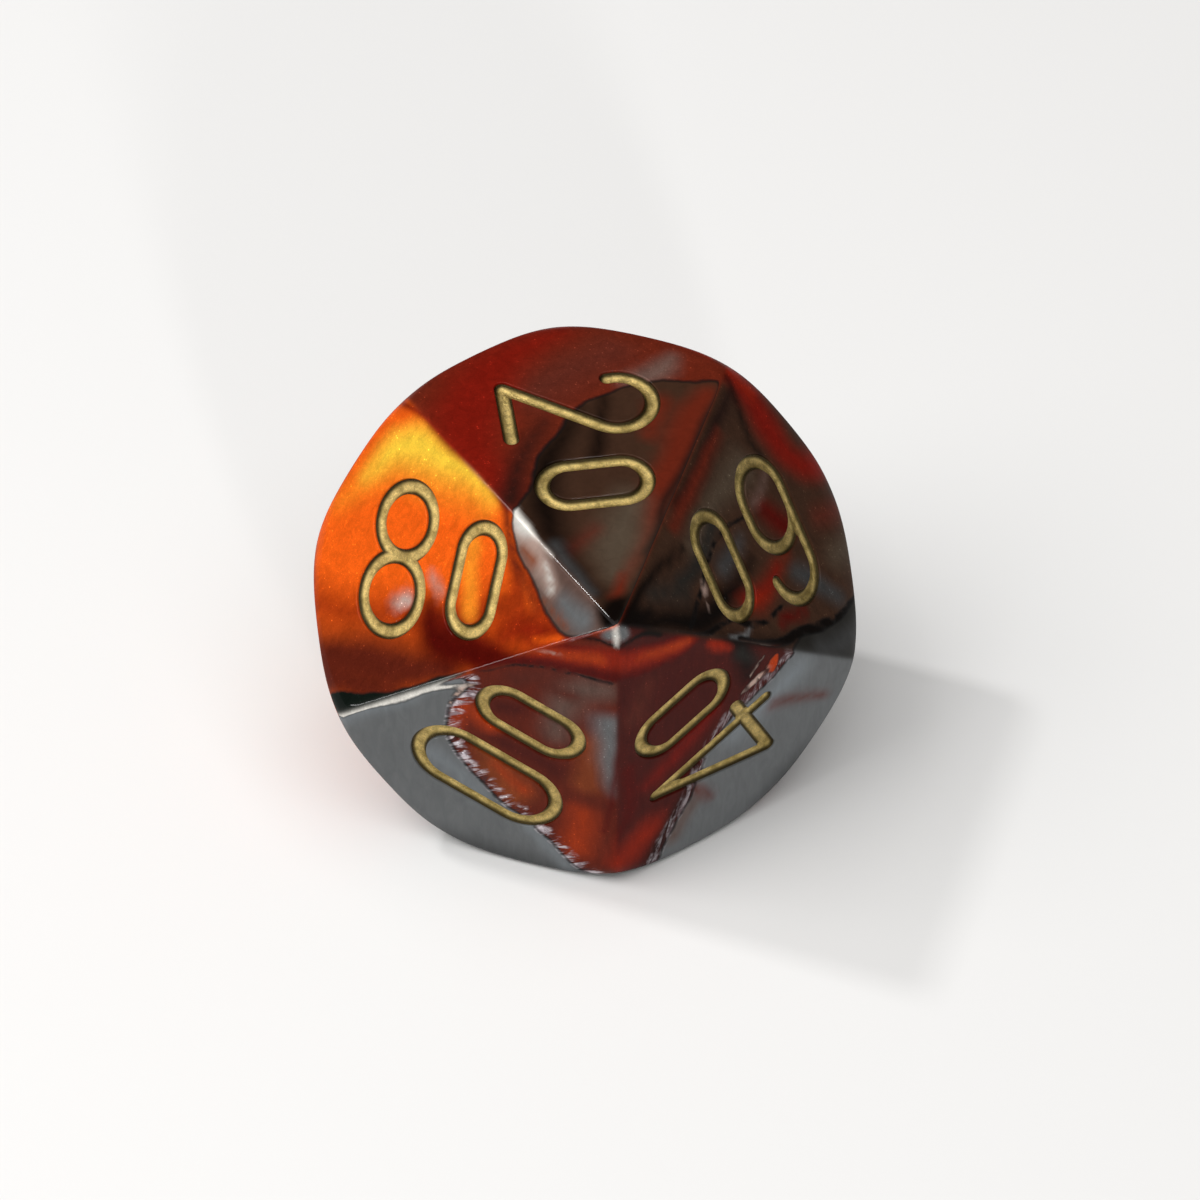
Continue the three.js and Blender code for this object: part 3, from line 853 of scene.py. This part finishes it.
# First column of each part of the layout
# Besides the resins' colours, these carry the painted highlights, painted reflections and painted light and
# shade laid out with them.
COLOUR_COLUMNS = {"first_resin_and_painted_light": 0, "second_resin_and_painted_light": 3, "bands_and_painted_light": 6}
VALUE_COLUMNS = {"sheet": 9, "band": 10, "frost": 11}
COMB_COLUMN = 12
COLUMNS = 14


def rounded(points, closed):
    """The same line with its corners cut, which leaves a smooth curve."""
    points = np.array(points, float)
    for _ in range(CORNER_CUTS):
        following = np.roll(points, -1, axis=0) if closed else points[1:]
        before = points if closed else points[:-1]
        cut = np.stack((before * (1 - CUT) + following * CUT, before * CUT + following * (1 - CUT)), axis=1)
        cut = cut.reshape(-1, points.shape[1])
        points = cut if closed else np.vstack((points[:1], cut[1:-1], points[-1:]))
    return points


def depth_in_spine(points, spine):
    """How deep each point is inside a stream; outside it the depth is negative."""
    best = np.full(len(points), -FAR)
    spine = rounded(spine, False)
    for (x0, y0, w0), (x1, y1, w1) in zip(spine[:-1], spine[1:]):
        away, share = to_stretch(points, (x0, y0), (x1, y1))
        best = np.maximum(best, w0 + (w1 - w0) * share - away)
    return best


def depth_in_outline(points, outline):
    """How deep each point is inside a closed outline; outside it the depth is negative."""
    outline = rounded(outline, True)
    away = np.full(len(points), FAR)
    inside = np.zeros(len(points), bool)
    for (x0, y0), (x1, y1) in zip(outline, np.roll(outline, -1, axis=0)):
        away = np.minimum(away, to_stretch(points, (x0, y0), (x1, y1))[0])
        crosses = (points[:, 1] < y0) != (points[:, 1] < y1)
        height = np.where(crosses, (points[:, 1] - y0) / (y1 - y0 or 1), 0)
        inside ^= crosses & (points[:, 0] < x0 + height * (x1 - x0))
    return np.where(inside, away, -away)


def smooth_step(value, low, high):
    share = np.clip((value - low) / (high - low), 0, 1)
    return share * share * (3 - 2 * share)


def blended(points, ground, streams):
    """The colour at each point: the ground, with the streams laid over it in turn."""
    colour = np.tile(linear(ground), (len(points), 1))
    for name, softness, spine in streams:
        cover = smooth_step(depth_in_spine(points, spine), -softness, softness)[:, None]
        colour = colour * (1 - cover) + linear(name) * cover
    return colour


def bands_at(points, bands):
    """How deep each point is in the narrow bands, and the bands' colour there."""
    if not bands:
        return np.full(len(points), -1.0), np.tile(linear("black"), (len(points), 1))
    depths = np.clip([depth_in_spine(points, spine) for _, spine in bands], -1, 1)
    weights = np.exp(depths / BAND_BLEND)
    colours = np.array([linear(name) for name, _ in bands])
    return depths.max(axis=0), np.einsum("bn,bc->nc", weights / weights.sum(axis=0), colours)


def waves(points, rows):
    return sum(reach * np.sin(points @ (with_x, with_y) + start) for reach, with_x, with_y, start in rows)


def wobbled(points):
    """Bends straight borders a little, as the resin's flow does."""
    return points + np.column_stack((waves(points, WAVES_ACROSS), waves(points, WAVES_UP)))


def swirl_on(face, places):
    """The layout at places on one face, with a row for each place."""
    if face["pole"] > 0:
        layout = SWIRL[face["tens"]]
        points = wobbled(places)
    else:
        # Mirrored, so that the two layouts meet along the middle.
        layout = SWIRL[NEAR_TENS[(face["k"] + MIRROR_SHIFT) % SIDES]]
        points = wobbled(places * (1, -1))
    # Both resins' colours are made lighter or darker by the face's factor: painted light and shade.
    first = blended(points, layout["ground"], layout["streams"]) * layout["painted_face_light"]
    second = blended(points, layout["sheet_ground"], layout["inlay"]) * layout["painted_face_light"]
    sheet = np.clip(depth_in_outline(points, layout["sheet"]), -1, 1)
    band, band_colour = bands_at(points, layout["bands"])
    frost = np.full(len(points), float(layout["frost"]))
    along = points @ (math.cos(COMB_LEAN), math.sin(COMB_LEAN))
    across = points @ (-math.sin(COMB_LEAN), math.cos(COMB_LEAN))
    return np.column_stack((first, second, band_colour, sheet, band, frost, along, across))


def swirl_at(points):
    """The layout at points of the body: each face's own, turning into the next one's round the edge."""
    reach = np.clip(points @ NORMALS.T / INRADIUS, 0, None)
    weights = reach**SWIRL_SHARPNESS
    weights = weights / weights.sum(axis=1)[:, None]
    total = np.zeros((len(points), COLUMNS))
    for face, weight in zip(FACES, weights.T):
        near = weight > LEAST_WEIGHT
        total[near] += swirl_on(face, points[near] @ face["axes"][:2].T) * weight[near, None]
    return total


def store_swirl(mesh, points):
    values = swirl_at(points)
    for name, column in COLOUR_COLUMNS.items():
        colours = np.column_stack((values[:, column : column + 3], np.ones(len(points))))
        store(mesh, name, "FLOAT_COLOR", colours)
    for name, column in VALUE_COLUMNS.items():
        store(mesh, name, "FLOAT", values[:, column])
    places = np.column_stack((values[:, COMB_COLUMN:COLUMNS], np.zeros(len(points))))
    store(mesh, "comb_place", "FLOAT_VECTOR", places)


# ---- materials


class Tree:
    """Short calls for a material's nodes."""

    def __init__(self, name):
        self.material = bpy.data.materials.new(name)
        self.material.use_nodes = True
        self.tree = self.material.node_tree
        self.shader = self.tree.nodes["Principled BSDF"]

    def feed(self, socket, value):
        if hasattr(value, "is_output"):
            self.tree.links.new(value, socket)
        else:
            socket.default_value = value

    def add(self, kind, inputs, **settings):
        """The outputs of a new node with these settings and with values or links at its inputs."""
        node = self.tree.nodes.new("ShaderNode" + kind)
        for name, value in settings.items():
            setattr(node, name, value)
        for key, value in inputs.items():
            self.feed(node.inputs[key], value)
        return node.outputs

    def math(self, operation, *values):
        return self.add("Math", dict(enumerate(values)), operation=operation)[0]

    def times(self, a, b):
        return self.math("MULTIPLY", a, b)

    def between(self, share, low, high):
        """A share turned into a number from low to high."""
        return self.math("MULTIPLY_ADD", share, high - low, low)

    def swing(self, noise, amount):
        """A noise's swing to either side of its middle."""
        return self.times(self.math("SUBTRACT", noise, 0.5), amount)

    def line(self, depth, solid, gone):
        """A line where a depth is nought, solid up to one depth and gone at another."""
        return self.math("SUBTRACT", 1.0, self.step(self.math("ABSOLUTE", depth), solid, gone))

    def step(self, value, low, high):
        """A smooth rise from 0 at low to 1 at high."""
        return self.add("MapRange", {0: value, 1: low, 2: high}, interpolation_type="SMOOTHSTEP")[0]

    def mix(self, factor, a, b, blend="MIX"):
        """Colour b over colour a; 0, 6, 7 and 2 are the node's factor, its two colours and the result."""
        return self.add("Mix", {0: factor, 6: a, 7: b}, data_type="RGBA", blend_type=blend)[2]

    def tint(self, a, b):
        return self.mix(1.0, a, b, "MULTIPLY")

    def attribute(self, name, output):
        return self.add("Attribute", {}, attribute_name=name)[output]

    def place(self, scale=(1, 1, 1), turn=(0, 0, 0)):
        """Object coordinates in millimetres, turned and scaled."""
        inputs = {"Scale": [s / MM for s in scale], "Rotation": turn}
        return self.add("Mapping", {"Vector": self.add("TexCoord", {})["Object"], **inputs})[0]

    def scaled(self, vector, scale):
        return self.add("VectorMath", {0: vector, 1: scale}, operation="MULTIPLY")[0]

    def noise(self, vector, scale, detail, roughness, distortion=0.0):
        inputs = {"Scale": scale, "Detail": detail, "Roughness": roughness, "Distortion": distortion}
        return self.add("TexNoise", {"Vector": vector, **inputs})[0]

    def cells(self, vector, scale):
        outputs = self.add("TexVoronoi", {"Vector": vector, "Scale": scale})
        return outputs["Distance"], outputs["Color"]

    def bump(self, height, strength, distance):
        return self.add("Bump", {"Height": height, "Strength": strength, "Distance": distance})[0]


def grey(level):
    return (level, level, level, 1)


# Resin: brightness of the streaks and the grain, as the least and the most
COPPER_STREAKS = (0.6, 1.4)
COPPER_GRAIN = (0.7, 1.3)
STEEL_STREAKS = (0.75, 1.25)
STREAK_STRETCH = (1, 1, 0.3)
STREAK_TURN = (0.6, 0.5, 0.2)
RESIN_ROUGHNESS = (0.3, 0.55)
RESIN_METALLIC = 0.2
COAT_WEIGHT = 0.11
COAT_ROUGHNESS = 0.02

# Its borders, in millimetres of depth
BORDER_WANDER = 0.4
BORDER_TREMBLE = 0.1
SHEET_EDGE = (-0.05, 0.05)
SHEET_LINE = (0.02, 0.14)
SHEET_LINE_STRENGTH = 0.7
BAND_EDGE = (-0.04, 0.06)
BAND_LINE = (0.0, 0.1)
BAND_LINE_STRENGTH = 0.5
LINE_COLOUR = grey(0.006)

# Its combed glitter: where it fades in and out, and which part of the comb is bright or dark
COMB_SCALE = (0.8, 3.8, 1)
COMB_RAGGED = 0.6
COMB_IN = (-0.7, -0.2)
COMB_OUT = (0.2, 0.0)
COMB_BRIGHT = (0.43, 0.6)
COMB_DARK = (0.44, 0.34)
GLITTER = ((0.24, 0.2, 0.22, 1), (0.62, 0.57, 0.6, 1))
GLITTER_MOTTLE = (0.4, 0.6)
GLITTER_STRENGTH = 0.85
GAP_COLOUR = (0.03, 0.025, 0.03, 1)
GAP_STRENGTH = 0.7

# Its mica flakes, painted as bright specks that stand for their glints: which cells have one, its size in a
# cell, the streaks that carry it and the brightness of the painted glint
FLAKES_PER_MM = 11
FLAKE_SHARE = (0.7, 0.9)
FLAKE_SIZE = (0.45, 0.1)
FLAKE_STREAKS = (0.42, 0.62)
FLAKE_SHEET = (0.05, -0.05)
FLAKE_GLINT_TINT = (3.0, 3.6, 3.6, 1)
FLAKE_GLINT_STRENGTH = 0.9

# Gold paint
GOLD = (0.82, 0.61, 0.22, 1)
WORN_GOLD = (0.46, 0.335, 0.105, 1)
WEAR = (0.35, 0.7)
GRAIN_SHADE = grey(0.6)
# Painted shade towards the groove's walls
WALL_SHADE_COLOUR = (0.045, 0.032, 0.01, 1)
WALL_SHADE_RAGGED = 0.3
WALL_SHADE_FADE = (0.42, 0.86)
PAINT_ROUGHNESS = (0.22, 0.52)
PAINT_METALLIC = 0.85
GRAIN_BUMP = 0.8
GRAIN_HEIGHT = 0.00006


def resin_material():
    t = Tree("swirled_resin")
    place = t.place()
    wander = t.noise(place, scale=0.45, detail=2, roughness=0.5, distortion=0.3)
    fine = t.noise(place, scale=3, detail=2, roughness=0.5)
    stretched = t.place(STREAK_STRETCH, STREAK_TURN)
    streaks = t.noise(stretched, scale=2.4, detail=5, roughness=0.62, distortion=0.8)
    grain = t.noise(place, scale=14, detail=2, roughness=0.7)

    # Each resin's own streaks and pearly grain
    light = t.times(t.between(streaks, *COPPER_STREAKS), t.between(grain, *COPPER_GRAIN))
    first = t.tint(t.attribute("first_resin_and_painted_light", "Color"), light)
    second = t.tint(t.attribute("second_resin_and_painted_light", "Color"), t.between(streaks, *STEEL_STREAKS))

    # The second resin's border wanders
    shift = t.math("ADD", t.swing(wander, BORDER_WANDER), t.swing(fine, BORDER_TREMBLE))
    sheet = t.math("ADD", t.attribute("sheet", "Fac"), shift)
    colour = t.mix(t.step(sheet, *SHEET_EDGE), first, second)

    # Combed glitter along the border, with dark gaps, and a thin dark line on the border itself
    comb_place = t.scaled(t.attribute("comb_place", "Vector"), COMB_SCALE)
    comb = t.noise(comb_place, scale=1, detail=3, roughness=0.6, distortion=0.5)
    ragged = t.math("ADD", sheet, t.swing(comb, COMB_RAGGED))
    near = t.times(t.step(ragged, *COMB_IN), t.step(sheet, *COMB_OUT))
    near = t.times(near, t.attribute("frost", "Fac"))
    frosted = t.times(near, t.step(comb, *COMB_BRIGHT))
    glitter = t.mix(t.step(fine, *GLITTER_MOTTLE), *GLITTER)
    colour = t.mix(t.times(frosted, GLITTER_STRENGTH), colour, glitter)
    gap = t.times(near, t.step(comb, *COMB_DARK))
    colour = t.mix(t.times(gap, GAP_STRENGTH), colour, GAP_COLOUR)
    colour = t.mix(t.times(t.line(sheet, *SHEET_LINE), SHEET_LINE_STRENGTH), colour, LINE_COLOUR)

    # Narrow bands over both
    band = t.math("ADD", t.attribute("band", "Fac"), t.swing(fine, BORDER_TREMBLE))
    banded = t.tint(t.attribute("bands_and_painted_light", "Color"), light)
    colour = t.mix(t.step(band, *BAND_EDGE), colour, banded)
    colour = t.mix(t.times(t.line(band, *BAND_LINE), BAND_LINE_STRENGTH), colour, LINE_COLOUR)

    # Mica flakes in the copper resin, painted far brighter than the resin: partly the flakes' pale colour,
    # partly painted glints
    distance, random = t.cells(place, FLAKES_PER_MM)
    flake = t.times(t.step(random, *FLAKE_SHARE), t.step(distance, *FLAKE_SIZE))
    carried = t.times(t.step(streaks, *FLAKE_STREAKS), t.step(sheet, *FLAKE_SHEET))
    flake = t.times(flake, carried)
    colour = t.mix(t.times(flake, FLAKE_GLINT_STRENGTH), colour, t.tint(colour, FLAKE_GLINT_TINT))

    t.feed(t.shader.inputs["Base Color"], colour)
    t.feed(t.shader.inputs["Roughness"], t.between(streaks, *RESIN_ROUGHNESS))
    t.shader.inputs["Metallic"].default_value = RESIN_METALLIC
    t.shader.inputs["Specular IOR Level"].default_value = 0.0
    t.shader.inputs["Coat Weight"].default_value = COAT_WEIGHT
    t.shader.inputs["Coat Roughness"].default_value = COAT_ROUGHNESS
    return t.material


def paint_material():
    t = Tree("gold_paint")
    place = t.place()
    grain = t.noise(place, scale=14, detail=3, roughness=0.7)
    blotch = t.noise(place, scale=2.2, detail=2, roughness=0.5)
    worn = t.mix(t.step(blotch, *WEAR), GOLD, WORN_GOLD)
    colour = t.mix(t.step(grain, *WEAR), t.tint(worn, GRAIN_SHADE), worn)
    # Towards the groove's walls the paint is painted dark: painted shade in the groove
    wall = t.math("ADD", t.attribute("across", "Fac"), t.swing(grain, WALL_SHADE_RAGGED))
    colour = t.mix(t.step(wall, *WALL_SHADE_FADE), colour, WALL_SHADE_COLOUR)
    t.feed(t.shader.inputs["Base Color"], colour)
    t.feed(t.shader.inputs["Roughness"], t.between(grain, *PAINT_ROUGHNESS))
    t.shader.inputs["Metallic"].default_value = PAINT_METALLIC
    t.feed(t.shader.inputs["Normal"], t.bump(grain, GRAIN_BUMP, GRAIN_HEIGHT))
    return t.material


RESIN = resin_material()
PAINT = paint_material()

# ---- the die

body_mesh = joined([body_patch(face) for face in FACES])
body = make_mesh("die_resin", *body_mesh, RESIN, "resin")
store_swirl(body.data, body_mesh[0])
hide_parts("die_body")
for face in FACES:
    for digit, strokes in face["digits"].items():
        paint_piece(face, digit, strokes, PAINT)

# ---- stage


def make_floor():
    mesh = bpy.data.meshes.new("floor")
    half = FLOOR_SIZE / 2
    corners = [(-half, -half, 0), (half, -half, 0), (half, half, 0), (-half, half, 0)]
    mesh.from_pydata(corners, [], [(0, 1, 2, 3)])
    t = Tree("floor")
    t.shader.inputs["Base Color"].default_value = FLOOR_COLOUR
    t.shader.inputs["Roughness"].default_value = FLOOR_ROUGHNESS
    mesh.materials.append(t.material)
    floor = add_object("floor", mesh)


def add_light(name, direction, distance, size, power):
    """A rectangular lamp that faces the die; its size is its width and its height."""
    light = bpy.data.lights.new(name, "AREA")
    light.shape = "RECTANGLE"
    light.size, light.size_y = size
    light.energy = power
    lamp = add_object(name, light)
    towards = Vector(direction).normalized()
    lamp.location = Vector(CENTRE * MM) + distance * towards
    lamp.rotation_euler = (-towards).to_track_quat("-Z", "Y").to_euler()


make_floor()
for lamp_name, settings in LAMPS.items():
    add_light(lamp_name, *settings)

world = bpy.data.worlds.new("studio")
world.use_nodes = True
world.node_tree.nodes["Background"].inputs["Color"].default_value = (1, 1, 1, 1)
world.node_tree.nodes["Background"].inputs["Strength"].default_value = WORLD_STRENGTH
bpy.context.scene.world = world
bpy.context.scene.view_settings.view_transform = "Standard"

# ---- camera


def make_camera():
    back = Vector((
        math.sin(CAMERA_AZIMUTH) * math.cos(CAMERA_ELEVATION),
        -math.cos(CAMERA_AZIMUTH) * math.cos(CAMERA_ELEVATION),
        math.sin(CAMERA_ELEVATION),
    ))
    lens = bpy.data.cameras.new("camera")
    lens.lens = LENS
    lens.sensor_width = SENSOR
    lens.shift_x = SHIFT_X
    lens.clip_start, lens.clip_end = CAMERA_CLIP
    camera = add_object("camera", lens)
    camera.location = Vector(CENTRE * MM) + CAMERA_DISTANCE * back
    camera.rotation_euler = (-back).to_track_quat("-Z", "Y").to_euler()
    bpy.context.scene.camera = camera


make_camera()
